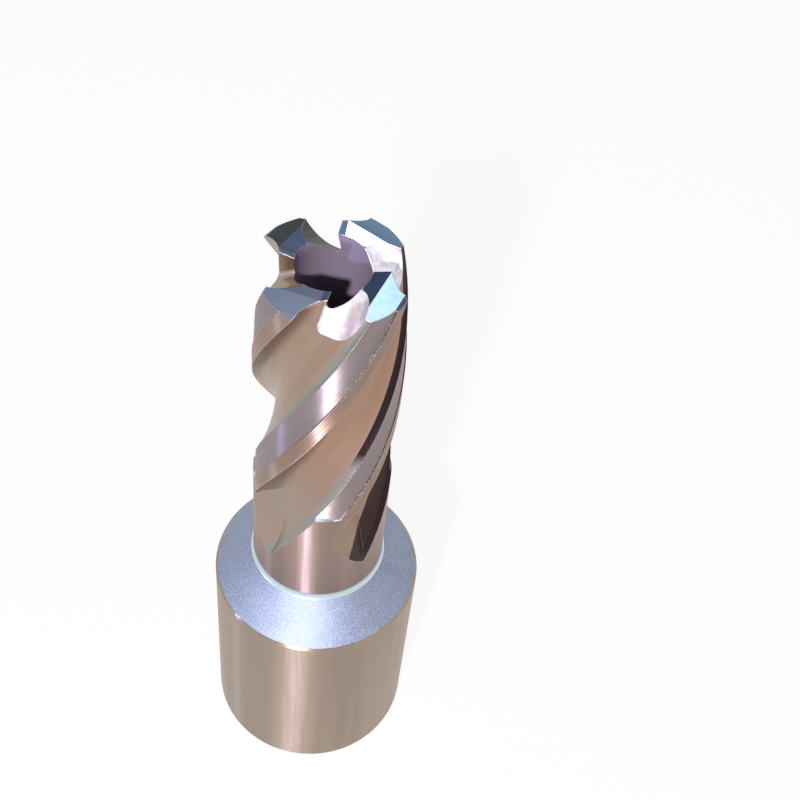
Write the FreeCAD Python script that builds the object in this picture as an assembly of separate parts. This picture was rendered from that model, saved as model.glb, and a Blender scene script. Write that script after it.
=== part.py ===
import FreeCAD
import Part
import math
import os

# Annular cutter, one piece of high-speed steel, standing on the end of its shank.
# Millimetres and degrees. Origin at the centre of the shank's end face, +Z towards the teeth.
# Azimuths are counted anticlockwise seen from the teeth, from +X.
# The front of a tooth is the side it cuts with, anticlockwise; its heel is the other side.

# Shank
SHANK_DIAMETER = 19.05
SHANK_LENGTH = 23.0
SHANK_END_CHAMFER = 0.8
SHANK_RIM_BREAK = 0.2
FLAT_DEPTH = 1.3
FLAT_BOTTOM = 3.0
FLAT_LENGTH = 14.5
FLAT_AZIMUTHS = (45.0, 135.0)

# Neck and fluted body
CUT_DIAMETER = 12.0
NECK_DIAMETER = 11.9
REACH = 40.45
SHOULDER_RISE = 3.4
SHOULDER_FILLET = 1.2
FILLET_STEPS = 5
NECK_LENGTH = 15.6
NECK_RUN_UP = 0.3

# Stepped bore
GUIDE_BORE_DIAMETER = 6.4
SLUG_BORE_DIAMETER = 5.8
SLUG_BORE_LENGTH = 14.0
BORE_STEP_HEIGHT = 0.4
GUIDE_MOUTH_CHAMFER = 0.5

# Teeth and helix
TEETH = 4
FIRST_LEAD_AZIMUTH = -27.0
HELIX_LEAD = 70.0
LAND_ANGLE = 31.5

# Flute section, seen from the teeth, with angles ahead of the leading edge of its tooth
FLUTE_FLOOR_DISTANCE = 4.1
FLUTE_FLOOR_TURN = 13.0
FLUTE_ROOT_RADIUS = 0.9
FLUTE_HEEL_LEAN = 35.0
FLUTE_END = 8.0
FLUTE_WHEEL_RADIUS = 25.0

# Body clearance, ground behind the margin
MARGIN_ANGLE = 12.0
MARGIN_STEP = 0.1
HEEL_CLEARANCE = 0.28
CLEARANCE_LEDGE = 0.45

# Top of a tooth: a roof of two facets that meet in a ridge, and a bevel on the outer corner
RIDGE_DISTANCE = 4.05
RIDGE_FALL_ANGLE = 10.0
OUTER_FACET_ANGLE = 14.0
INNER_FACET_ANGLE = 12.5
CORNER_BEVEL_ANGLE = 45.0
CORNER_DROP = 0.7
ROOF_SECTOR_TURN = 9.0

# Gash, the inner gullet ground in front of each tooth
GASH_DIP = 40.0
GASH_DEPTH = 2.1
GASH_WALL_OFFSET = 0.98
GASH_WALL_LEAN = 14.0
GASH_FLOOR_WIDTH = 0.9
GASH_CORNER = 0.45
GASH_HEEL_CORNER = 2.1
GASH_HEEL_LEAN = 4.0
GASH_HEIGHT = 3.6

# Worked out from the sizes above
SHANK_RADIUS = SHANK_DIAMETER / 2
CUT_RADIUS = CUT_DIAMETER / 2
NECK_RADIUS = NECK_DIAMETER / 2
GUIDE_RADIUS = GUIDE_BORE_DIAMETER / 2
SLUG_RADIUS = SLUG_BORE_DIAMETER / 2
TOP = SHANK_LENGTH + REACH
NECK_TOP = SHANK_LENGTH + NECK_LENGTH
STEP_TOP = TOP - SLUG_BORE_LENGTH
CORNER_HEIGHT = TOP - CORNER_DROP
PITCH_ANGLE = 360.0 / TEETH
FLUTE_ANGLE = PITCH_ANGLE - LAND_ANGLE
CLEAR = 2.0
OUTSIDE = CUT_RADIUS + CLEAR
ABOVE = 1.5
RUN_IN = 3.0
WHEEL_SINK = 0.02
BAND_OVERLAP = 1.0
BAND_OVERLAP_ANGLE = 4.0
AXIS = FreeCAD.Vector(0, 0, 1)
ORIGIN = FreeCAD.Vector(0, 0, 0)


def slope_of(degrees):
    """Rise over run of a slope in degrees."""
    return math.tan(math.radians(degrees))


def twist(z):
    """Turn of the helix at height z, zero at the outer corners of the teeth."""
    return 360.0 * (z - CORNER_HEIGHT) / HELIX_LEAD


def polar(radius, azimuth, z=0.0):
    """A point from its radius, azimuth and height."""
    angle = math.radians(azimuth)
    return FreeCAD.Vector(radius * math.cos(angle), radius * math.sin(angle), z)


def line(start, end):
    """A straight edge."""
    return Part.LineSegment(start, end).toShape()


def arc(start, middle, end):
    """An arc through three points."""
    return Part.Arc(start, middle, end).toShape()


def turned(shape, azimuth):
    """A copy of the shape, turned about the cutter's axis."""
    copy = shape.copy()
    copy.rotate(ORIGIN, AXIS, azimuth)
    return copy


def revolved(points):
    """A solid of revolution about the axis from (radius, z) corners."""
    corners = [FreeCAD.Vector(radius, 0, z) for radius, z in points]
    face = Part.Face(Part.makePolygon(corners + corners[:1]))
    return face.revolve(ORIGIN, AXIS, 360)


def twisted(edges, bottom, top):
    """A section drawn at the top of the teeth, carried along the helix from bottom to top."""
    section = Part.Wire(edges)
    section.rotate(ORIGIN, AXIS, twist(bottom))
    section.translate(FreeCAD.Vector(0, 0, bottom))
    spine = Part.Wire(line(FreeCAD.Vector(0, 0, bottom), FreeCAD.Vector(0, 0, top)))
    helix = Part.makeHelix(HELIX_LEAD, top - bottom, CUT_RADIUS)
    helix.translate(FreeCAD.Vector(0, 0, bottom))
    sweep = Part.BRepOffsetAPI.MakePipeShell(spine)
    sweep.setAuxiliarySpine(Part.Wire(helix.Edges), True, 0)
    sweep.add(section)
    sweep.build()
    sweep.makeSolid()
    return sweep.shape()


def fillet_points():
    """Corners of the hollow fillet between the coned shoulder and the neck, from below."""
    cone_run = SHANK_RADIUS - SHANK_RIM_BREAK - NECK_RADIUS
    cone = math.atan2(SHOULDER_RISE, cone_run)
    centre_radius = NECK_RADIUS + SHOULDER_FILLET
    tangent = SHOULDER_FILLET * math.tan((math.pi / 2 - cone) / 2)
    centre_height = SHANK_LENGTH + SHOULDER_RISE + tangent
    points = []
    for step in range(FILLET_STEPS + 1):
        angle = cone + (math.pi / 2 - cone) * step / FILLET_STEPS
        radius = centre_radius - SHOULDER_FILLET * math.sin(angle)
        points.append((radius, centre_height - SHOULDER_FILLET * math.cos(angle)))
    return points


def make_blank():
    """The turned blank: shank, coned shoulder with its fillet, neck, body and stepped bore.

    The shank's wall is drawn in three lengths, so that the band with the flats is a face apart.
    """
    shank = [
        (GUIDE_RADIUS, GUIDE_MOUTH_CHAMFER),
        (GUIDE_RADIUS + GUIDE_MOUTH_CHAMFER, 0),
        (SHANK_RADIUS - SHANK_END_CHAMFER, 0),
        (SHANK_RADIUS, SHANK_END_CHAMFER),
        (SHANK_RADIUS, FLAT_BOTTOM),
        (SHANK_RADIUS, FLAT_BOTTOM + FLAT_LENGTH),
        (SHANK_RADIUS, SHANK_LENGTH - SHANK_RIM_BREAK),
        (SHANK_RADIUS - SHANK_RIM_BREAK, SHANK_LENGTH),
    ]
    body = [
        (NECK_RADIUS, NECK_TOP),
        (CUT_RADIUS, NECK_TOP + NECK_RUN_UP),
        (CUT_RADIUS, TOP + ABOVE),
    ]
    bore = [
        (SLUG_RADIUS, TOP + ABOVE),
        (SLUG_RADIUS, STEP_TOP),
        (GUIDE_RADIUS, STEP_TOP - BORE_STEP_HEIGHT),
    ]
    return revolved(shank + fillet_points() + body + bore)


def make_flat():
    """The pocket of one clamping flat, milled straight across the shank, at azimuth 0."""
    return Part.makeBox(
        SHANK_RADIUS, SHANK_DIAMETER, FLAT_LENGTH,
        FreeCAD.Vector(SHANK_RADIUS - FLAT_DEPTH, -SHANK_RADIUS, FLAT_BOTTOM))


def flute_edges():
    """Section of one flute at the top: radial rake wall, root arc, straight floor, heel wall."""
    normal = polar(1, FLUTE_FLOOR_TURN)
    along = polar(1, FLUTE_FLOOR_TURN + 90)
    floor = normal * FLUTE_FLOOR_DISTANCE
    wall = polar(1, 0)
    bisector = math.radians((90 - FLUTE_FLOOR_TURN) / 2)
    wall_meets_floor = FLUTE_FLOOR_DISTANCE / math.cos(math.radians(FLUTE_FLOOR_TURN))
    reach = FLUTE_ROOT_RADIUS / math.tan(bisector)
    corner = wall * wall_meets_floor
    root_top = corner + wall * reach
    root_end = corner + along * reach
    centre = root_top + FreeCAD.Vector(0, FLUTE_ROOT_RADIUS, 0)
    to_corner = FreeCAD.Vector(corner - centre)
    to_corner.normalize()
    root_middle = centre + to_corner * FLUTE_ROOT_RADIUS
    heel_top = polar(CUT_RADIUS, FLUTE_ANGLE)
    heel_run = polar(1, FLUTE_ANGLE + FLUTE_HEEL_LEAN)
    steps = (FLUTE_FLOOR_DISTANCE - heel_top.dot(normal)) / heel_run.dot(normal)
    heel_foot = heel_top + heel_run * steps
    heel_out = heel_top + heel_run * CLEAR
    rake_out = polar(OUTSIDE, 0)
    rim = polar(OUTSIDE, FLUTE_ANGLE / 2)
    return [
        line(rake_out, root_top),
        arc(root_top, root_middle, root_end),
        line(root_end, heel_foot),
        line(heel_foot, heel_out),
        arc(heel_out, rim, rake_out),
    ]


def make_flute():
    """One flute of the first tooth, with the wheel's arc where it runs out on the neck."""
    rise = CUT_RADIUS - FLUTE_FLOOR_DISTANCE
    run = math.sqrt(2 * FLUTE_WHEEL_RADIUS * rise)
    slope = math.atan(2 * math.pi * FLUTE_FLOOR_DISTANCE / HELIX_LEAD)
    start = SHANK_LENGTH + FLUTE_END + run * math.cos(slope)
    groove = twisted(flute_edges(), SHANK_LENGTH + FLUTE_END - RUN_IN, TOP + ABOVE)
    outward = polar(1, FLUTE_FLOOR_TURN + twist(start))
    tangent = polar(1, FLUTE_FLOOR_TURN + 90 + twist(start))
    along = tangent * math.sin(slope) + AXIS * math.cos(slope)
    across = tangent * math.cos(slope) - AXIS * math.sin(slope)
    foot = outward * FLUTE_FLOOR_DISTANCE + AXIS * start
    middle = foot + outward * (FLUTE_WHEEL_RADIUS - WHEEL_SINK)
    wheel = Part.makeCylinder(
        FLUTE_WHEEL_RADIUS, 4 * CUT_RADIUS, middle - across * (2 * CUT_RADIUS), across)
    size = 4 * REACH
    upper = Part.makeBox(size, size, size, FreeCAD.Vector(-size / 2, -size / 2, 0))
    upper.Placement = FreeCAD.Placement(foot, FreeCAD.Rotation(AXIS, along)).multiply(
        upper.Placement)
    return [groove.common(upper), groove.common(wheel)]


def make_clearance():
    """The body clearance behind one margin, from the ledge above the neck to the top."""
    deep = LAND_ANGLE + BAND_OVERLAP_ANGLE
    rim = OUTSIDE + BAND_OVERLAP
    start = polar(CUT_RADIUS - MARGIN_STEP, -MARGIN_ANGLE)
    middle_depth = (MARGIN_STEP + HEEL_CLEARANCE) / 2
    middle = polar(CUT_RADIUS - middle_depth, -(MARGIN_ANGLE + deep) / 2)
    end = polar(CUT_RADIUS - HEEL_CLEARANCE, -deep)
    far_start = polar(OUTSIDE, -MARGIN_ANGLE)
    far_middle = polar(OUTSIDE, -(MARGIN_ANGLE + deep) / 2)
    far_end = polar(OUTSIDE, -deep)
    edges = [
        arc(start, middle, end),
        line(end, far_end),
        arc(far_end, far_middle, far_start),
        line(far_start, start),
    ]
    band = twisted(edges, NECK_TOP - BAND_OVERLAP, TOP + ABOVE)
    inner = CUT_RADIUS - 2 * HEEL_CLEARANCE
    slope = CLEARANCE_LEDGE / HEEL_CLEARANCE
    ring = revolved([
        (inner, NECK_TOP + slope * (NECK_RADIUS - inner)),
        (rim, NECK_TOP + slope * (NECK_RADIUS - rim)),
        (rim, TOP + 2 * ABOVE),
        (inner, TOP + 2 * ABOVE),
    ])
    return band.common(ring)


def make_gash():
    """The gash in front of the first tooth: a flat-bottomed trough that dips outwards."""
    dip = math.radians(GASH_DIP)
    along = FreeCAD.Vector(math.cos(dip), 0, -math.sin(dip))
    up = FreeCAD.Vector(math.sin(dip), 0, math.cos(dip))
    side = FreeCAD.Vector(0, 1, 0)
    foot = FreeCAD.Vector(SLUG_RADIUS, 0, TOP - GASH_DEPTH)
    lean = slope_of(GASH_WALL_LEAN)
    heel_lean = slope_of(GASH_HEEL_LEAN)

    def at(across, height):
        return foot + side * across + up * height

    wall_foot = GASH_WALL_OFFSET + GASH_CORNER
    floor_end = wall_foot + GASH_FLOOR_WIDTH
    heel_wall = floor_end + GASH_HEEL_CORNER
    bend = math.sqrt(0.5)
    top_wall = at(GASH_WALL_OFFSET + lean * GASH_HEIGHT, GASH_HEIGHT)
    top_heel = at(heel_wall + heel_lean * GASH_HEIGHT, GASH_HEIGHT)
    low_wall = at(GASH_WALL_OFFSET, GASH_CORNER)
    low_heel = at(heel_wall, GASH_HEEL_CORNER)
    wall_bend = at(wall_foot - GASH_CORNER * bend, GASH_CORNER * (1 - bend))
    heel_bend = at(floor_end + GASH_HEEL_CORNER * bend, GASH_HEEL_CORNER * (1 - bend))
    section = Part.Wire([
        line(top_wall, low_wall),
        arc(low_wall, wall_bend, at(wall_foot, 0)),
        line(at(wall_foot, 0), at(floor_end, 0)),
        arc(at(floor_end, 0), heel_bend, low_heel),
        line(low_heel, top_heel),
        line(top_heel, top_wall),
    ])
    back = SLUG_RADIUS / math.cos(dip)
    section.translate(along * -back)
    return Part.Face(section).extrude(along * (back + 3 * CUT_RADIUS))


def make_facet(distance, height, slope):
    """Everything above a plane that falls outwards at a slope, through one point."""
    fall_out = FreeCAD.Vector(1, 0, -slope_of(slope))
    fall_back = FreeCAD.Vector(0, 1, slope_of(RIDGE_FALL_ANGLE))
    size = 4 * CUT_RADIUS
    block = Part.makeBox(size, size, size, FreeCAD.Vector(-size / 2, -size / 2, 0))
    point = FreeCAD.Vector(distance, 0, height)
    block.Placement = FreeCAD.Placement(
        point, FreeCAD.Rotation(AXIS, fall_out.cross(fall_back))).multiply(block.Placement)
    return block


def make_roofs():
    """Everything above the roofs of all the teeth, one sector for each tooth."""
    above = make_facet(RIDGE_DISTANCE, TOP, OUTER_FACET_ANGLE).multiFuse([
        make_facet(RIDGE_DISTANCE, TOP, -INNER_FACET_ANGLE),
        make_facet(CUT_RADIUS, CORNER_HEIGHT, CORNER_BEVEL_ANGLE),
    ])
    start = ROOF_SECTOR_TURN - PITCH_ANGLE / 2
    low = TOP - 2 * CLEAR
    sector = Part.Face(Part.makePolygon([
        ORIGIN, polar(2 * OUTSIDE, start), polar(2 * OUTSIDE, start + PITCH_ANGLE), ORIGIN]))
    sector.translate(AXIS * low)
    roof = above.common(sector.extrude(AXIS * (4 * CLEAR)))
    roofs = [turned(roof, azimuth) for azimuth in lead_azimuths()]
    return roofs[0].multiFuse(roofs[1:]).removeSplitter()


def lead_azimuths():
    """Azimuths of the teeth's leading corners."""
    return [FIRST_LEAD_AZIMUTH + tooth * PITCH_ANGLE for tooth in range(TEETH)]


def make_cutter():
    """The whole cutter."""
    cutter = make_blank()
    for azimuth in FLAT_AZIMUTHS:
        cutter = cutter.cut(turned(make_flat(), azimuth))
    cutter = cutter.cut(make_roofs())
    for tool in [make_clearance()] + make_flute() + [make_gash()]:
        for azimuth in lead_azimuths():
            cutter = cutter.cut(turned(tool, azimuth))
    return cutter


os.makedirs("parts", exist_ok=True)
cutter = make_cutter()
cutter.exportStep("parts/cutter.step")
print("solids", len(cutter.Solids), "valid", cutter.isValid(), "volume", cutter.Volume)
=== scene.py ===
import logging
import math
from dataclasses import dataclass, field
from enum import Enum
from typing import Any

import bpy
from mathutils import Matrix, Vector


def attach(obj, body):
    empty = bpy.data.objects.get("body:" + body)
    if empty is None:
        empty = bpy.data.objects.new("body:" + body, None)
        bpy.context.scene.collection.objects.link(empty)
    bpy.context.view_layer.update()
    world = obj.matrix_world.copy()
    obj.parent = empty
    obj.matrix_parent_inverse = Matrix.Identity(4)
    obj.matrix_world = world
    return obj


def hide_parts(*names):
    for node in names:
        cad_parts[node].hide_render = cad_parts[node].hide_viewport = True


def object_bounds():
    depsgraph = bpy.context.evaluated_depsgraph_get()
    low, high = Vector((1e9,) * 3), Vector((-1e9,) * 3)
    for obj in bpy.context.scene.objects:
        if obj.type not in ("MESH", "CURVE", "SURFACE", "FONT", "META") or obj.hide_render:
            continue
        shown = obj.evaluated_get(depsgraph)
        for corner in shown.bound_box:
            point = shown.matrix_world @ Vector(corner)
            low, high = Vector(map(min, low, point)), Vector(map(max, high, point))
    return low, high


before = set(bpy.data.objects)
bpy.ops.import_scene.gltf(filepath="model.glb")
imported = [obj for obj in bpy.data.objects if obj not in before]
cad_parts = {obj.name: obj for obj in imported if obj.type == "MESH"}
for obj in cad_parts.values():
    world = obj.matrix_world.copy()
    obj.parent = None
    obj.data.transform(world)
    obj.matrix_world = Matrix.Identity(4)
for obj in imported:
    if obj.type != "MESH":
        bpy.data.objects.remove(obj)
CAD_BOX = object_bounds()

log = logging.getLogger("annular_cutter")
MM = 0.001

# Ground and handled edges are a little soft. They are shaded as if rounded by this radius.
EDGE_RADIUS = 0.09 * MM
EDGE_SAMPLES = 6
# How deep a bump strength of one makes the marks.
MARK_DEPTH = 0.02 * MM
# The noises of the marks and of the tone, on places already scaled to their spacing.
MARK_NOISE = {"Scale": 1.0, "Detail": 3.0, "Roughness": 0.6}
TINT_NOISE = {"Scale": 1.0, "Detail": 2.0, "Roughness": 0.5}
GLINT_DETAIL = 1.0
# The levels of each noise between which it runs from none to full.
MARK_LEVELS = {"From Min": 0.3, "From Max": 0.7}
TINT_LEVELS = {"From Min": 0.35, "From Max": 0.65}
GLINT_LEVELS = {"From Min": 0.45, "From Max": 0.75}
# Cosines between the true and the softened normal, where the bright edge begins and where it is
# full. That edge is partly real wear and partly a painted highlight.
EDGE_WEAR_AND_HIGHLIGHT_LEVELS = {"From Min": 0.985, "From Max": 0.86}
# Half the width of a heel band's edge, and half the height over which its tone changes.
BAND_EDGE = 0.03 * MM
BAND_FADE = 0.8 * MM
# A quarter turn from round the axis, so that a highlight is drawn out along the axis.
ALONG_AXIS = 0.25


class Zone(Enum):
    """The surfaces of the cutter that were finished in different ways."""

    SHANK = "shank wall"
    FLAT = "clamping flats"
    END = "end face of the shank"
    SHOULDER = "shoulder cone"
    FILLET = "fillet between shoulder and neck"
    NECK = "neck"
    LAND = "cleared land"
    MARGIN = "margin at the leading edge"
    STEP = "step between margin and cleared land"
    LEDGE = "ledge where the clearance starts above the neck"
    FLUTE = "flute floor, root and rake wall"
    HEEL = "heel strip at the back of a flute"
    GASH = "gash"
    INNER_FACET = "inner facet of a tooth"
    OUTER_FACET = "outer facet of a tooth"
    BEVEL = "outer bevel of a tooth"
    BORE = "bore"


class Tooth(Enum):
    """The four teeth, by their order anticlockwise from the first leading edge."""

    FIRST = 0
    SECOND = 1
    THIRD = 2
    FOURTH = 3


class Grain(Enum):
    """The way the marks of a tool run over a surface."""

    RINGS = "round the axis"
    STREAKS = "along the axis"
    HELIX = "along the flutes"
    GRIT = "every way"


def linear(code: str) -> tuple[float, float, float, float]:
    """Turn an sRGB hex colour into the linear colour that a shader takes.

    Args:
        code: Six hex digits with a leading hash.

    Returns:
        Red, green, blue and an alpha of one.
    """
    channels = [int(code[i:i + 2], 16) / 255 for i in (1, 3, 5)]
    red, green, blue = [
        c / 12.92 if c <= 0.04045 else ((c + 0.055) / 1.055) ** 2.4 for c in channels]
    return (red, green, blue, 1.0)


def add_node(tree: bpy.types.NodeTree, kind: str, inputs: dict[Any, Any] | None = None,
             **settings: Any) -> bpy.types.Node:
    """Add a node with its settings, values and links.

    Args:
        tree: The node tree that gets the node.
        kind: The node's type name.
        inputs: Socket name or number to a value, or to the output socket it is linked from.
        settings: Attributes of the node.

    Returns:
        The new node.
    """
    node = tree.nodes.new(kind)
    for name, value in settings.items():
        setattr(node, name, value)
    for socket, value in (inputs or {}).items():
        if isinstance(value, bpy.types.NodeSocket):
            tree.links.new(value, node.inputs[socket])
        else:
            node.inputs[socket].default_value = value
    return node


@dataclass
class FluteSection:
    """The section of the flutes at the outer corners of the teeth, ahead of one leading edge.

    In the section the leading edge lies on the X axis. Angles are in degrees.
    """

    teeth: int = 4
    first_lead: float = -27.0
    helix_lead: float = 70.0 * MM
    corner_height: float = 62.75 * MM
    cut_radius: float = 6.0 * MM
    floor_distance: float = 4.1 * MM
    floor_turn: float = 13.0
    land_angle: float = 31.5
    heel_lean: float = 35.0
    margin_angle: float = 12.0
    root_radius: float = 0.9 * MM

    @property
    def pitch(self) -> float:
        """The angle from tooth to tooth."""
        return 360 / self.teeth

    def twist(self, height: float) -> float:
        """Turn of the helix at a height, in degrees."""
        return 360 * (height - self.corner_height) / self.helix_lead

    def tooth_behind(self, place: Vector) -> Tooth:
        """Tell whose leading edge lies next behind a place, clockwise.

        Args:
            place: A point of the cutter.

        Returns:
            The tooth.
        """
        azimuth = math.degrees(math.atan2(place.y, place.x)) - self.twist(place.z)
        return Tooth(int(((azimuth - self.first_lead) % 360) // self.pitch))

    def spot_in(self, place: Vector, tooth: Tooth) -> Vector:
        """Carry a place back along the helix into a tooth's section.

        Args:
            place: A point of the cutter.
            tooth: The tooth whose leading edge the section's X axis goes through.

        Returns:
            The point in the section.
        """
        turn = math.radians(self.first_lead + self.pitch * tooth.value + self.twist(place.z))
        cos, sin = math.cos(turn), math.sin(turn)
        return Vector((place.x * cos + place.y * sin, place.y * cos - place.x * sin))

    def past_floor(self, spot: Vector) -> float:
        """How far a spot of the section lies outside the flute's flat floor."""
        turn = math.radians(self.floor_turn)
        return spot.x * math.cos(turn) + spot.y * math.sin(turn) - self.floor_distance

    def past_heel(self, spot: Vector) -> float:
        """Measure how far a spot of the section lies off the heel strip's line.

        Args:
            spot: A point in the section.

        Returns:
            The distance in metres, with its sign.
        """
        flute = math.radians(self.pitch - self.land_angle)
        run = flute + math.radians(self.heel_lean)
        top = Vector((math.cos(flute), math.sin(flute))) * self.cut_radius
        return (spot - top).dot(Vector((math.sin(run), -math.cos(run))))

    def past_root(self, spot: Vector) -> float:
        """Measure how far a spot lies off the arc between rake wall and floor.

        Args:
            spot: A point in the section.

        Returns:
            The distance in metres, with its sign.
        """
        turn = math.radians(self.floor_turn)
        reach = self.root_radius / math.tan((math.pi / 2 - turn) / 2)
        corner = self.floor_distance / math.cos(turn)
        return (spot - Vector((corner + reach, self.root_radius))).length - self.root_radius

    def heel_foot(self) -> float:
        """Find where the heel strip meets the floor.

        Returns:
            How far along the floor that is from its spot nearest the axis, in metres.
        """
        flute = math.radians(self.pitch - self.land_angle)
        floor = math.radians(self.floor_turn)
        lean = flute + math.radians(self.heel_lean) - floor
        top = flute - floor
        steps = (self.floor_distance - self.cut_radius * math.cos(top)) / math.cos(lean)
        return self.cut_radius * math.sin(top) + steps * math.sin(lean)

    def add_untwist(self, tree: bpy.types.NodeTree, place: bpy.types.NodeSocket,
                    tooth: Tooth) -> bpy.types.NodeSocket:
        """Carry a shader's place back along the helix into a tooth's section.

        Args:
            tree: The material's node tree.
            place: Object coordinates.
            tooth: The tooth.

        Returns:
            The place in the section, with its height kept.
        """
        height = add_node(tree, "ShaderNodeSeparateXYZ", {"Vector": place}).outputs["Z"]
        lead = math.radians(self.first_lead + self.pitch * tooth.value)
        turn = add_node(tree, "ShaderNodeMath", {
            0: height, 1: -2 * math.pi / self.helix_lead,
            2: 2 * math.pi * self.corner_height / self.helix_lead - lead},
            operation="MULTIPLY_ADD").outputs["Value"]
        return add_node(tree, "ShaderNodeVectorRotate", {
            "Vector": place, "Angle": turn}, rotation_type="Z_AXIS").outputs["Vector"]


@dataclass(frozen=True)
class SteelFinish:
    """High-speed steel as one tool left it.

    The marks lie `grain_mm` apart and are `stretch` times as long. `bump` is their strength,
    and the roughness varies with them by `rough_spread`. The tone wanders between `colour`
    and `tint` over `tint_mm`. `glint` is the tone of scattered bright grains, which are painted
    glints. The edge tone and its share brighten the edges: partly real wear, partly a painted
    highlight. `mark_tilt` is how far, in degrees, ground rings lean. `foot` is the tone below
    `foot_mm`. `heel_band` is the tone of the last `band_mm` of the floor before the heel, on
    most flutes a dark painted shade, and `band_foot` that band's tone below `band_foot_mm`, on
    the first flute a greenish grey painted highlight.
    """

    name: str
    colour: str
    tint: str
    roughness: float
    grain: Grain
    grain_mm: float
    bump: float = 0.1
    tint_mm: float = 3.0
    metallic: float = 1.0
    anisotropy: float = 0.0
    rough_spread: float = 0.06
    glint: str | None = None
    # The edge tone: partly real wear, partly a painted highlight where edges catch the light.
    edge_wear_and_highlight: str = "#d9d3d6"
    edge_wear_and_highlight_share: float = 0.6
    stretch: float = 25.0
    mark_tilt: float = 0.0
    heel_band: str | None = None
    band_mm: float = 0.3
    band_foot: str | None = None
    band_foot_mm: float = 0.0
    foot: str | None = None
    foot_mm: float = 36.0
    foot_blend_mm: float = 4.0

    def build(self, section: FluteSection, tooth: Tooth) -> bpy.types.Material:
        """Make the node material.

        Args:
            section: The flutes' section, for marks and bands that follow the helix.
            tooth: The tooth whose surface it is for.

        Returns:
            The material.
        """
        material = bpy.data.materials.new(self.name)
        material.use_nodes = True
        tree = material.node_tree
        tree.nodes.clear()
        place = add_node(tree, "ShaderNodeTexCoord").outputs["Object"]
        untwisted = section.add_untwist(tree, place, tooth)
        followed = untwisted if self.grain is Grain.HELIX else place
        marks = add_node(tree, "ShaderNodeTexNoise", {
            "Vector": self.scaled(tree, followed, self.grain_mm), **MARK_NOISE})
        clouds = add_node(tree, "ShaderNodeTexNoise", {
            "Vector": self.scaled(tree, followed, self.tint_mm), **TINT_NOISE})
        blend = add_node(tree, "ShaderNodeMapRange", {
            "Value": clouds.outputs["Fac"], **TINT_LEVELS})
        tone = add_node(tree, "ShaderNodeMix", {
            0: blend.outputs["Result"], 6: linear(self.colour), 7: linear(self.tint)},
            data_type="RGBA").outputs[2]
        if self.glint:
            tone = self.with_glints(tree, tone, place)
        if self.foot:
            tone = self.with_foot(tree, tone, place)
        if self.heel_band:
            tone = self.with_heel_band(tree, tone, untwisted, section)
        soft = add_node(tree, "ShaderNodeBevel", {"Radius": EDGE_RADIUS}, samples=EDGE_SAMPLES)
        tone = self.with_edge_wear_and_highlight(tree, tone, soft.outputs["Normal"])
        spread = add_node(tree, "ShaderNodeMapRange", {
            "Value": marks.outputs["Fac"], **MARK_LEVELS,
            "To Min": self.roughness - self.rough_spread,
            "To Max": self.roughness + self.rough_spread})
        relief = add_node(tree, "ShaderNodeBump", {
            "Height": marks.outputs["Fac"], "Strength": self.bump, "Distance": MARK_DEPTH,
            "Normal": soft.outputs["Normal"]})
        shader = add_node(tree, "ShaderNodeBsdfPrincipled", {
            "Base Color": tone, "Metallic": self.metallic,
            "Roughness": spread.outputs["Result"], "Normal": relief.outputs["Normal"],
            "Anisotropic": self.anisotropy})
        if self.anisotropy:
            tangent = add_node(tree, "ShaderNodeTangent", direction_type="RADIAL", axis="Z")
            tree.links.new(tangent.outputs["Tangent"], shader.inputs["Tangent"])
            turn = ALONG_AXIS + self.mark_tilt / 360
            shader.inputs["Anisotropic Rotation"].default_value = turn
        add_node(tree, "ShaderNodeOutputMaterial", {"Surface": shader.outputs["BSDF"]})
        return material

    def scaled(self, tree: bpy.types.NodeTree, place: bpy.types.NodeSocket,
               spacing_mm: float) -> bpy.types.NodeSocket:
        """Stretch the pattern's place so that its marks lie at a spacing in millimetres.

        Args:
            tree: The material's node tree.
            place: The place that the pattern follows.
            spacing_mm: The distance between marks.

        Returns:
            The place for a noise of scale one.
        """
        fine = 1 / (spacing_mm * MM)
        long = fine / self.stretch
        scale = {
            Grain.RINGS: (long, long, fine),
            Grain.STREAKS: (fine, fine, long),
            Grain.HELIX: (fine, fine, long),
            Grain.GRIT: (fine, fine, fine),
        }[self.grain]
        return add_node(tree, "ShaderNodeMapping", {
            "Vector": place, "Scale": scale}).outputs["Vector"]

    def with_glints(self, tree: bpy.types.NodeTree, tone: bpy.types.NodeSocket,
                    place: bpy.types.NodeSocket) -> bpy.types.NodeSocket:
        """Scatter small bright grains over the tone, as painted glints.

        Args:
            tree: The material's node tree.
            tone: The colour so far.
            place: Object coordinates.

        Returns:
            The colour with the painted glints in it.
        """
        grains = add_node(tree, "ShaderNodeTexNoise", {
            "Vector": place, "Scale": 1 / (self.grain_mm * MM), "Detail": GLINT_DETAIL})
        bright = add_node(tree, "ShaderNodeMapRange", {
            "Value": grains.outputs["Fac"], **GLINT_LEVELS})
        return add_node(tree, "ShaderNodeMix", {
            0: bright.outputs["Result"], 6: tone, 7: linear(self.glint)},
            data_type="RGBA").outputs[2]

    def with_foot(self, tree: bpy.types.NodeTree, tone: bpy.types.NodeSocket,
                  place: bpy.types.NodeSocket) -> bpy.types.NodeSocket:
        """Change the tone towards the foot of the flutes. On the first heel the new tone is a
        greenish grey painted highlight.

        Args:
            tree: The material's node tree.
            tone: The colour so far.
            place: Object coordinates.

        Returns:
            The colour with the foot's tone in it.
        """
        height = add_node(tree, "ShaderNodeSeparateXYZ", {"Vector": place}).outputs["Z"]
        share = add_node(tree, "ShaderNodeMapRange", {
            "Value": height, "From Min": (self.foot_mm + self.foot_blend_mm / 2) * MM,
            "From Max": (self.foot_mm - self.foot_blend_mm / 2) * MM}).outputs["Result"]
        return add_node(tree, "ShaderNodeMix", {
            0: share, 6: tone, 7: linear(self.foot)}, data_type="RGBA").outputs[2]

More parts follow.
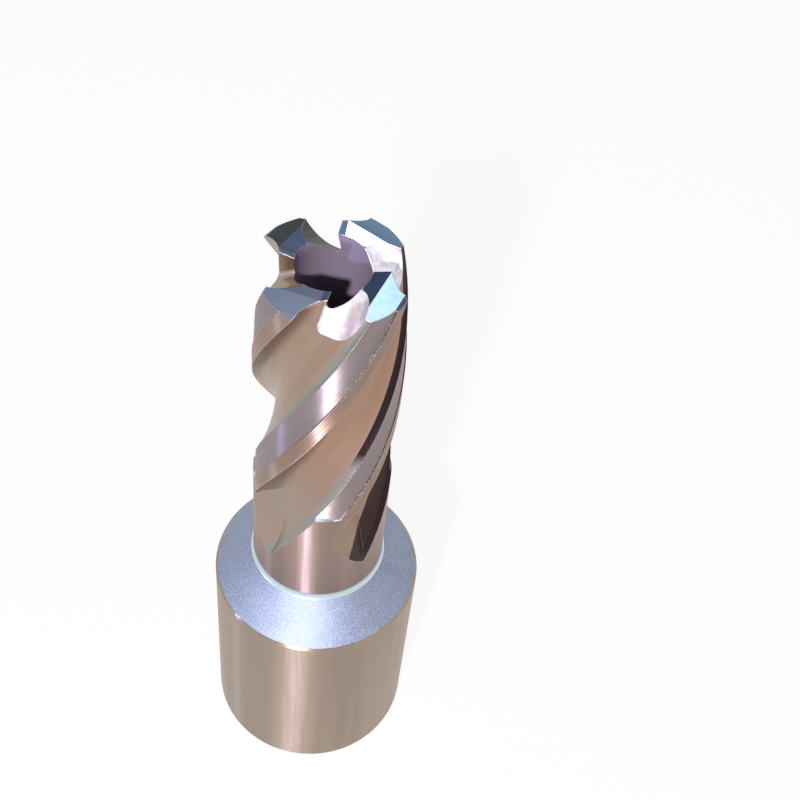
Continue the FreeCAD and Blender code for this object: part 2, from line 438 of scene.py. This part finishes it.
    def with_heel_band(self, tree: bpy.types.NodeTree, tone: bpy.types.NodeSocket,
                       untwisted: bpy.types.NodeSocket,
                       section: FluteSection) -> bpy.types.NodeSocket:
        """Colour the part of the floor that lies along the heel, mostly with a dark painted
        shade.

        Args:
            tree: The material's node tree.
            tone: The colour so far.
            untwisted: The place in the tooth's section.
            section: The flutes' section.

        Returns:
            The colour with the band in it.
        """
        along = math.radians(section.floor_turn + 90)
        across = add_node(tree, "ShaderNodeVectorMath", {
            0: untwisted, 1: (math.cos(along), math.sin(along), 0)},
            operation="DOT_PRODUCT").outputs["Value"]
        start = section.heel_foot() - self.band_mm * MM
        share = add_node(tree, "ShaderNodeMapRange", {
            "Value": across, "From Min": start - BAND_EDGE,
            "From Max": start + BAND_EDGE}).outputs["Result"]
        height = add_node(tree, "ShaderNodeSeparateXYZ", {"Vector": untwisted}).outputs["Z"]
        above = add_node(tree, "ShaderNodeMapRange", {
            "Value": height, "From Min": self.band_foot_mm * MM - BAND_FADE,
            "From Max": self.band_foot_mm * MM + BAND_FADE}).outputs["Result"]
        band = add_node(tree, "ShaderNodeMix", {
            0: above, 6: linear(self.band_foot or self.heel_band),
            7: linear(self.heel_band)}, data_type="RGBA").outputs[2]
        return add_node(tree, "ShaderNodeMix", {
            0: share, 6: tone, 7: band}, data_type="RGBA").outputs[2]

    def with_edge_wear_and_highlight(self, tree: bpy.types.NodeTree, tone: bpy.types.NodeSocket,
                  softened: bpy.types.NodeSocket) -> bpy.types.NodeSocket:
        """Brighten the metal along edges, partly as wear where handling and the grinding burr
        polish it, and partly as a painted highlight where edges catch the light.

        Args:
            tree: The material's node tree.
            tone: The colour so far.
            softened: The normal with soft edges.

        Returns:
            The colour with the worn and highlighted edges in it.
        """
        normal = add_node(tree, "ShaderNodeNewGeometry").outputs["Normal"]
        match = add_node(tree, "ShaderNodeVectorMath", {0: normal, 1: softened},
                         operation="DOT_PRODUCT").outputs["Value"]
        edge = add_node(tree, "ShaderNodeMapRange", {
            "Value": match, **EDGE_WEAR_AND_HIGHLIGHT_LEVELS, "To Max": self.edge_wear_and_highlight_share}).outputs["Result"]
        return add_node(tree, "ShaderNodeMix", {
            0: edge, 6: tone, 7: linear(self.edge_wear_and_highlight)}, data_type="RGBA").outputs[2]


# Real grinding marks lie about 0.02 to 0.05 mm apart, too fine to show. They are drawn 0.3 mm
# apart or more, as coarse as they need to be seen.
FINISHES: dict[Zone, SteelFinish] = {
    # Cylindrical grinding leaves fine rings, which draw a light out into a line up the shank.
    # The pattern drawn is the faint streaks in that line, along the axis.
    Zone.SHANK: SteelFinish(
        "ground_shank_steel", "#a69484", "#9e8c7d", 0.32, Grain.STREAKS, 0.35, 0.02,
        tint_mm=1.6, anisotropy=0.95, rough_spread=0.03),
    # The flats are milled across and keep the rows of the mill.
    Zone.FLAT: SteelFinish(
        "milled_flat_steel", "#a3968c", "#94887f", 0.34, Grain.RINGS, 0.4, 0.2),
    # Faced on a lathe: even, and a little duller. It stands on this face, so the rings of the
    # lathe are left out.
    Zone.END: SteelFinish("turned_end_steel", "#9b938d", "#8d8681", 0.35, Grain.GRIT, 0.3, 0.1),
    # Fine blasting: matt, blue-grey, with bright grains in it, which are painted glints. The
    # grit's real marks of about 0.05 mm are drawn at 0.14 mm, so that they show.
    Zone.SHOULDER: SteelFinish(
        "blasted_shoulder_steel", "#81899e", "#8a92a5", 0.6, Grain.GRIT, 0.14, 1.0,
        glint="#a3aabd"),
    # The grinding wheel's corner polishes the fillet, which gathers light like a hollow mirror.
    # Its pale tone is partly that polish and partly a painted reflection.
    Zone.FILLET: SteelFinish(
        "polished_and_reflecting_fillet_steel", "#d0dbde", "#c6d3d7", 0.3, Grain.RINGS, 0.3, 0.05),
    # Ground like the shank, with a slightly rosy tone from the flutes beside it.
    Zone.NECK: SteelFinish(
        "ground_neck_steel", "#a58f86", "#9a867d", 0.31, Grain.STREAKS, 0.35, 0.02,
        tint_mm=1.6, anisotropy=1.0, rough_spread=0.03),
    # Lands are ground round the axis like the neck, so a light crosses them as a bright patch.
    Zone.LAND: SteelFinish(
        "ground_land_steel", "#a09295", "#978a8b", 0.42, Grain.HELIX, 0.3, 0.03,
        tint_mm=1.4, anisotropy=1.0, edge_wear_and_highlight_share=0.3, mark_tilt=7.5),
    # The margin is a narrow ground strip, warmer and smoother than the land behind it.
    Zone.MARGIN: SteelFinish(
        "ground_margin_steel", "#a48c80", "#9e8576", 0.36, Grain.HELIX, 0.3, 0.03,
        tint_mm=1.4, anisotropy=1.0, mark_tilt=5.0),
    # The ledge faces up and shows as a bright line, a painted highlight.
    Zone.LEDGE: SteelFinish(
        "painted_highlight_ledge_steel", "#e6e0e8", "#d8d2da", 0.3, Grain.RINGS, 0.3),
    # The low step behind the margin reads as a dark line of painted shade.
    Zone.STEP: SteelFinish(
        "painted_shade_step_steel", "#3a3130", "#2f2827", 0.65, Grain.HELIX, 0.3, edge_wear_and_highlight_share=0.0),
    # The heel strip is dark, warm and dull: painted shade.
    Zone.HEEL: SteelFinish(
        "painted_shade_heel_steel", "#35292a", "#2e2424", 0.4, Grain.HELIX, 0.3, 0.12,
        edge_wear_and_highlight_share=0.0),
    # The gash wheel runs fine and wet. The near-white tone is a painted highlight, and the
    # small grey scuffs in it are the metal's own.
    Zone.GASH: SteelFinish(
        "painted_highlight_gash_steel", "#eeeaf2", "#d0c9d7", 0.4, Grain.GRIT, 0.5, 0.4,
        metallic=0.9, tint_mm=0.5),
    # The facets are ground on a fine wheel: smooth and dark. Their blue-grey tone is a painted
    # reflection.
    Zone.INNER_FACET: SteelFinish(
        "ground_inner_facet_steel", "#4c5a74", "#43506a", 0.18, Grain.GRIT, 0.5, 0.06),
    # The bevels are ground a little coarser and look greyer than the facets.
    Zone.BEVEL: SteelFinish(
        "ground_bevel_steel", "#7d8794", "#8b9296", 0.25, Grain.GRIT, 0.4, 0.06),
    # The bore keeps a dull grey oxide from hardening, which scatters the light that falls in.
    Zone.BORE: SteelFinish(
        "oxidised_bore_steel", "#85798d", "#7b7086", 0.6, Grain.RINGS, 0.3, 0.08,
        metallic=0.1, edge_wear_and_highlight_share=0.2),
}

# The same surface differs from tooth to tooth. Most of these tones are painted reflections,
# painted highlights and painted shade, set for each tooth, not temper or stain.
TOOTH_FINISHES: dict[tuple[Zone, Tooth], SteelFinish] = {
    # A pale, bright blue-grey, which is a painted reflection.
    (Zone.OUTER_FACET, Tooth.FIRST): SteelFinish(
        "painted_reflection_outer_facet_steel", "#a3bccb", "#96b1c1", 0.2, Grain.GRIT, 0.5, 0.06),
    # A mid blue, which is a painted reflection.
    (Zone.OUTER_FACET, Tooth.SECOND): SteelFinish(
        "blue_outer_facet_steel", "#647f97", "#57728b", 0.22, Grain.GRIT, 0.5, 0.06),
    # Nearly black, and still smooth: painted shade.
    (Zone.OUTER_FACET, Tooth.THIRD): SteelFinish(
        "dark_outer_facet_steel", "#272c34", "#21262d", 0.2, Grain.GRIT, 0.5, 0.06),
    # A light blue-grey, which is a painted reflection.
    (Zone.OUTER_FACET, Tooth.FOURTH): SteelFinish(
        "pale_outer_facet_steel", "#7a849b", "#6d7890", 0.2, Grain.GRIT, 0.6, 0.06),
    # A darker blue than the pale facet that it cuts off, as a painted reflection.
    (Zone.BEVEL, Tooth.FIRST): SteelFinish(
        "blue_bevel_steel", "#4c5f78", "#43556e", 0.25, Grain.GRIT, 0.4, 0.06),
    # A deep blue beside the pale outer facet, as a painted reflection.
    (Zone.INNER_FACET, Tooth.FIRST): SteelFinish(
        "blue_inner_facet_steel", "#37455f", "#2f3c56", 0.18, Grain.GRIT, 0.5, 0.06),
    # Nearly white: a painted highlight.
    (Zone.INNER_FACET, Tooth.SECOND): SteelFinish(
        "painted_highlight_inner_facet_steel", "#eceaf2", "#e0e0ea", 0.24, Grain.GRIT, 0.5, 0.06),
    # Slate grey as a painted reflection, with the widest marks of all the facets.
    (Zone.INNER_FACET, Tooth.FOURTH): SteelFinish(
        "grey_inner_facet_steel", "#5c6780", "#565f76", 0.2, Grain.GRIT, 0.8, 0.06),
    # This gash is nearly black: painted shade.
    (Zone.GASH, Tooth.SECOND): SteelFinish(
        "painted_shade_gash_steel", "#383632", "#312f2c", 0.44, Grain.GRIT, 0.6, 0.15),
    # A straw tone with darker clouds.
    (Zone.GASH, Tooth.THIRD): SteelFinish(
        "straw_toned_gash_steel", "#b3a08c", "#998674", 0.36, Grain.GRIT, 0.6, 0.15),
    # Flutes are creep-feed ground and keep faint lines along their length. This one is the
    # warmest and turns greyer towards its foot. The dark band along its heel is painted shade,
    # which turns lower down to a greenish grey painted highlight.
    (Zone.FLUTE, Tooth.FIRST): SteelFinish(
        "warm_flute_steel", "#ac8973", "#a18170", 0.36, Grain.HELIX, 0.3, 0.12,
        tint_mm=1.5, heel_band="#35292a", band_mm=0.35, band_foot="#94918a",
        band_foot_mm=45.7, foot="#a18f81", foot_mm=42.5, foot_blend_mm=9.0),
    # A wide band of painted shade runs along this floor's heel.
    (Zone.FLUTE, Tooth.SECOND): SteelFinish(
        "shaded_flute_steel", "#a08775", "#96806f", 0.36, Grain.HELIX, 0.3, 0.12,
        tint_mm=1.5, heel_band="#3f302c", band_mm=1.6),
    # A browner floor with the strongest clouds, and a band of painted shade along its heel.
    (Zone.FLUTE, Tooth.THIRD): SteelFinish(
        "stained_flute_steel", "#a08975", "#8f7966", 0.36, Grain.HELIX, 0.3, 0.12,
        tint_mm=1.5, heel_band="#3f302c", band_mm=0.35),
    # An even tan floor, greenish grey along the heel.
    (Zone.FLUTE, Tooth.FOURTH): SteelFinish(
        "tan_flute_steel", "#a88f7d", "#9d8672", 0.36, Grain.HELIX, 0.3, 0.12,
        tint_mm=1.5, heel_band="#918e80", band_mm=0.35),
    # Painted shade like the plain heel, turning lower down to a greenish grey painted
    # highlight.
    (Zone.HEEL, Tooth.FIRST): SteelFinish(
        "painted_shade_and_highlight_heel_steel", "#35292a", "#2e2424", 0.4, Grain.HELIX, 0.3, 0.12,
        edge_wear_and_highlight_share=0.0, foot="#96928a", foot_mm=45.7, foot_blend_mm=1.6),
    # Greenish grey all along.
    (Zone.HEEL, Tooth.FOURTH): SteelFinish(
        "greenish_grey_heel_steel", "#8d8c82", "#85847b", 0.34, Grain.HELIX, 0.3, 0.1,
        edge_wear_and_highlight_share=0.3),
}


@dataclass
class CutterBody:
    """The cutter in one piece, with a finish for each of its surfaces.

    Radii and heights tell the surfaces apart. A slope is the upward part of a face's normal,
    and a share is the part of it that points away from the axis. Turns are in degrees.
    """

    node: str = "cutter"
    slot: str = "tool_steel"
    shoulder_height: float = 23.0 * MM
    shank_radius: float = 9.525 * MM
    neck_radius: float = 5.95 * MM
    cone_top: float = 26.2 * MM
    fillet_top: float = 26.9 * MM
    neck_top: float = 38.6 * MM
    ledge_top: float = 39.2 * MM
    bore_radius: float = 3.2 * MM
    rim_radius: float = 5.6 * MM
    wall_radius: float = 5.85 * MM
    bevel_radius: float = 5.2 * MM
    gash_foot: float = 59.3 * MM
    end_slope: float = -0.9
    flat_slope: float = 0.1
    facet_slope: float = 0.9
    bevel_slopes: tuple[float, float] = (0.66, 0.76)
    gash_slope: float = 0.02
    round_share: float = 0.999
    rim_share: float = 0.97
    bevel_share: float = 0.5
    facet_turn: float = 75.0
    gash_turn: float = 14.0
    smooth_angle: float = math.radians(22.0)
    merge_distance: float = 0.0001 * MM
    slack: float = 0.03 * MM
    edge_slack: float = 0.1 * MM
    section: FluteSection = field(default_factory=FluteSection)
    slots: dict[SteelFinish, int] = field(default_factory=dict)

    def build(self) -> bpy.types.Object:
        """Copy the solid, merge its corners, smooth it and dress each surface.

        Returns:
            The finished piece.
        """
        bpy.ops.object.select_all(action="DESELECT")
        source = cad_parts[self.node]
        piece = source.copy()
        piece.data = source.data.copy()
        piece.name = "annular_cutter"
        piece.parent = None
        bpy.context.scene.collection.objects.link(piece)
        piece.select_set(True)
        bpy.context.view_layer.objects.active = piece
        bpy.ops.mesh.customdata_custom_splitnormals_clear()
        bpy.ops.object.mode_set(mode="EDIT")
        bpy.ops.mesh.select_all(action="SELECT")
        bpy.ops.mesh.remove_doubles(threshold=self.merge_distance)
        bpy.ops.object.mode_set(mode="OBJECT")
        bpy.ops.object.shade_smooth_by_angle(angle=self.smooth_angle)
        self.dress(piece)
        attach(piece, "root")
        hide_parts(self.node)
        return piece

    def dress(self, piece: bpy.types.Object) -> None:
        """Give every face the finish of its zone and tooth.

        Args:
            piece: The merged copy of the solid.
        """
        mesh = piece.data
        mesh.materials.clear()
        for face in mesh.polygons:
            corners = [mesh.vertices[i].co for i in face.vertices]
            zone, tooth = self.zone_of(face, corners)
            finish = TOOTH_FINISHES.get((zone, tooth)) or FINISHES[zone]
            if finish not in self.slots:
                self.slots[finish] = len(self.slots)
                mesh.materials.append(finish.build(self.section, tooth))
            face.material_index = self.slots[finish]

    def zone_of(self, face: bpy.types.MeshPolygon,
                corners: list[Vector]) -> tuple[Zone, Tooth]:
        """Tell which surface a face belongs to.

        Args:
            face: The face.
            corners: The places of its corners, which lie on the true surface.

        Returns:
            Its zone, and the tooth it belongs to or whose flute it lies in.
        """
        centre, normal = face.center, face.normal
        radius = math.hypot(centre.x, centre.y)
        # The bore runs right through, so no face has its centre on the axis.
        outward = (centre.x * normal.x + centre.y * normal.y) / radius
        radii = [math.hypot(c.x, c.y) for c in corners]
        highest = max(c.z for c in corners)
        tooth = self.section.tooth_behind(centre)
        if max(radii) < self.bore_radius + self.slack:
            return Zone.BORE, tooth
        if centre.z < self.shoulder_height:
            return self.shank_zone(radius, outward, normal), tooth
        if highest < self.cone_top + self.slack:
            return Zone.SHOULDER, tooth
        if highest < self.fillet_top + self.slack:
            return Zone.FILLET, tooth
        found = self.top_zone(centre, radius, outward, normal) or self.flute_zone(corners)
        if found:
            return found
        if min(radii) > self.rim_radius and outward > self.rim_share:
            return self.rim_zone(centre, radius, tooth), tooth
        if centre.z > self.neck_top and min(radii) > self.wall_radius:
            return (Zone.LEDGE if centre.z < self.ledge_top else Zone.STEP), tooth
        if highest > self.gash_foot and normal.z > self.gash_slope:
            return Zone.GASH, self.tooth_at(centre, self.gash_turn)
        return Zone.FLUTE, tooth

    def tooth_at(self, place: Vector, turn: float) -> Tooth:
        """Tell whose sector of the cutting end a place lies in.

        Args:
            place: A point near the top of the cutter.
            turn: How far clockwise of its leading edge, in degrees, a tooth's sector starts.

        Returns:
            The tooth.
        """
        azimuth = math.degrees(math.atan2(place.y, place.x)) - self.section.first_lead
        return Tooth(int(((azimuth + turn) % 360) // self.section.pitch))

    def flute_zone(self, corners: list[Vector]) -> tuple[Zone, Tooth] | None:
        """Tell a flute's floor, root arc and rake wall from its heel strip.

        Args:
            corners: A face's corners.

        Returns:
            The zone and the tooth whose flute it is, or None for any other face.
        """
        section = self.section
        for tooth in Tooth:
            spots = [section.spot_in(c, tooth) for c in corners]
            if not all(s.x > 0 and -self.edge_slack < s.y for s in spots):
                continue
            lines = (section.past_floor, section.past_root, lambda spot: spot.y)
            if any(all(abs(line(s)) < self.slack for s in spots) for line in lines):
                return Zone.FLUTE, tooth
            if all(abs(section.past_heel(s)) < self.slack for s in spots):
                return Zone.HEEL, tooth
        return None

    def rim_zone(self, centre: Vector, radius: float, tooth: Tooth) -> Zone:
        """Tell neck, margin and cleared land apart.

        Args:
            centre: A face's centre.
            radius: Its distance from the axis.
            tooth: The tooth whose leading edge lies next behind it.

        Returns:
            The zone.
        """
        if centre.z < self.neck_top and radius < self.neck_radius + self.slack:
            return Zone.NECK
        spot = self.section.spot_in(centre, tooth)
        behind = self.section.pitch - math.degrees(math.atan2(spot.y, spot.x))
        return Zone.MARGIN if behind < self.section.margin_angle else Zone.LAND

    def shank_zone(self, radius: float, outward: float, normal: Vector) -> Zone:
        """Tell the shank's surfaces apart.

        Args:
            radius: The distance of a face's centre from the axis.
            outward: How far its normal points away from the axis.
            normal: Its normal.

        Returns:
            The zone.
        """
        if normal.z < self.end_slope:
            return Zone.END
        sunk = radius < self.shank_radius - self.slack
        if outward < self.round_share and abs(normal.z) < self.flat_slope and sunk:
            return Zone.FLAT
        return Zone.SHANK

    def top_zone(self, centre: Vector, radius: float, outward: float,
                 normal: Vector) -> tuple[Zone, Tooth] | None:
        """Tell the facets and bevels on top of the teeth apart, and whose they are.

        Args:
            centre: A face's centre.
            radius: Its distance from the axis.
            outward: How far its normal points away from the axis.
            normal: Its normal.

        Returns:
            The zone and the tooth, or None for a face that is neither.
        """
        owner = self.tooth_at(centre, self.facet_turn)
        if normal.z > self.facet_slope:
            return (Zone.OUTER_FACET if outward > 0 else Zone.INNER_FACET), owner
        low, high = self.bevel_slopes
        leans_out = outward > self.bevel_share and low < normal.z < high
        if leans_out and radius > self.bevel_radius:
            return Zone.BEVEL, owner
        return None


@dataclass(frozen=True)
class Lamp:
    """A square soft lamp that faces the cutter and isn't seen itself.

    It hangs at an azimuth from +X, anticlockwise from above, and an elevation over the floor,
    both in degrees, and at a distance in metres. `size` is its side and `watts` its power.
    """

    name: str
    azimuth: float
    elevation: float
    distance: float
    size: float
    watts: float
    colour: str

    def hang(self, middle: Vector) -> None:
        """Add the lamp to the scene.

        Args:
            middle: The point that it faces.
        """
        flat = math.cos(math.radians(self.elevation))
        way = Vector((
            flat * math.cos(math.radians(self.azimuth)),
            flat * math.sin(math.radians(self.azimuth)),
            math.sin(math.radians(self.elevation))))
        data = bpy.data.lights.new(self.name, "AREA")
        data.size = self.size
        data.energy = self.watts
        data.color = linear(self.colour)[:3]
        lamp = bpy.data.objects.new(self.name, data)
        lamp.location = middle + way * self.distance
        lamp.rotation_euler = way.to_track_quat("Z", "Y").to_euler()
        lamp.visible_camera = False
        bpy.context.scene.collection.objects.link(lamp)


@dataclass
class Studio:
    """Floor, pale surroundings, soft lamps and the camera."""

    floor_size: float = 3.0
    floor_colour: str = "#f4f4f4"
    background_colour: str = "#ffffff"
    background_share: float = 0.92
    fill_colour: str = "#f4f6ff"
    fill_strength: float = 0.2
    lamps: tuple[Lamp, ...] = (
        # High in front, a little to the left.
        Lamp("key", -104, 42, 0.30, 0.015, 1.05, "#fffaf6"),
        # Nearly straight above, broad and weak.
        Lamp("overhead", 55, 73, 0.34, 0.12, 0.06, "#eef4ff"),
        # Low in front, a little to the left.
        Lamp("front_low", -103, 12, 0.40, 0.02, 0.95, "#c6caff"),
        # Close to the floor on the left, weak and blue.
        Lamp("left_low", -160, 4, 0.40, 0.02, 0.2, "#a8ccff"),
    )
    camera_place: Vector = Vector((0.407, -68.99, 133.83)) * MM
    camera_forward: Vector = Vector((0.0500, 0.6261, -0.7781))
    camera_right: Vector = Vector((0.9966, 0.0189, 0.0793))
    camera_near: float = 1.0 * MM
    lens: float = 61.36
    sensor: float = 36.0

    def build(self) -> None:
        """Set up everything around the cutter."""
        bpy.context.scene.view_settings.view_transform = "Standard"
        self.add_floor()
        self.light_world()
        middle = Vector((0, 0, (CAD_BOX[0][2] + CAD_BOX[1][2]) / 2))
        for lamp in self.lamps:
            lamp.hang(middle)
        self.add_camera()

    def seen_ray(self, tree: bpy.types.NodeTree) -> bpy.types.NodeSocket:
        """Pick out the rays that show the background, seen straight or in metal or glass.

        Args:
            tree: The node tree of the floor or the world.

        Returns:
            One for such a ray, and zero for light that falls on the cutter.
        """
        path = add_node(tree, "ShaderNodeLightPath")
        both = add_node(tree, "ShaderNodeMath", {
            0: path.outputs["Is Camera Ray"], 1: path.outputs["Is Glossy Ray"]},
            operation="MAXIMUM")
        return add_node(tree, "ShaderNodeMath", {
            0: both.outputs["Value"], 1: path.outputs["Is Transmission Ray"]},
            operation="MAXIMUM").outputs["Value"]

    def add_floor(self) -> None:
        """Lay a plain white floor that keeps a soft shadow."""
        bpy.ops.mesh.primitive_plane_add(size=self.floor_size, location=(0, 0, 0))
        floor = bpy.context.object
        floor.name = "floor"
        material = bpy.data.materials.new("white_floor_paper")
        material.use_nodes = True
        tree = material.node_tree
        tree.nodes.clear()
        paper = add_node(tree, "ShaderNodeBsdfDiffuse", {"Color": linear(self.floor_colour)})
        glow = add_node(tree, "ShaderNodeEmission", {
            "Color": linear(self.background_colour), "Strength": 1.0})
        share = add_node(tree, "ShaderNodeMath", {
            0: self.seen_ray(tree), 1: self.background_share}, operation="MULTIPLY")
        mixed = add_node(tree, "ShaderNodeMixShader", {
            0: share.outputs["Value"], 1: paper.outputs["BSDF"], 2: glow.outputs["Emission"]})
        add_node(tree, "ShaderNodeOutputMaterial", {"Surface": mixed.outputs["Shader"]})
        floor.data.materials.append(material)

    def light_world(self) -> None:
        """Make white surroundings, which light the cutter at a lower level than they show."""
        world = bpy.data.worlds.new("pale_room")
        bpy.context.scene.world = world
        world.use_nodes = True
        tree = world.node_tree
        tree.nodes.clear()
        shown = add_node(tree, "ShaderNodeBackground", {
            "Color": linear(self.background_colour)})
        fill = add_node(tree, "ShaderNodeBackground", {
            "Color": linear(self.fill_colour), "Strength": self.fill_strength})
        mixed = add_node(tree, "ShaderNodeMixShader", {
            0: self.seen_ray(tree), 1: fill.outputs["Background"],
            2: shown.outputs["Background"]})
        add_node(tree, "ShaderNodeOutputWorld", {"Surface": mixed.outputs["Shader"]})

    def add_camera(self) -> None:
        """Place the camera at the photograph's viewpoint, fitted to the shank's circles."""
        data = bpy.data.cameras.new("camera")
        data.lens = self.lens
        data.sensor_width = self.sensor
        data.clip_start = self.camera_near
        camera = bpy.data.objects.new("camera", data)
        forward = self.camera_forward.normalized()
        right = self.camera_right.normalized()
        up = right.cross(forward)
        turn = Matrix((right, up, -forward)).transposed().to_4x4()
        camera.matrix_world = Matrix.Translation(self.camera_place) @ turn
        bpy.context.scene.collection.objects.link(camera)
        bpy.context.scene.camera = camera


def main() -> None:
    """Build the cutter and the studio."""
    logging.basicConfig(level=logging.INFO)
    piece = CutterBody().build()
    log.info("%s: %d faces", piece.name, len(piece.data.polygons))
    Studio().build()


if __name__ == "__main__":
    main()
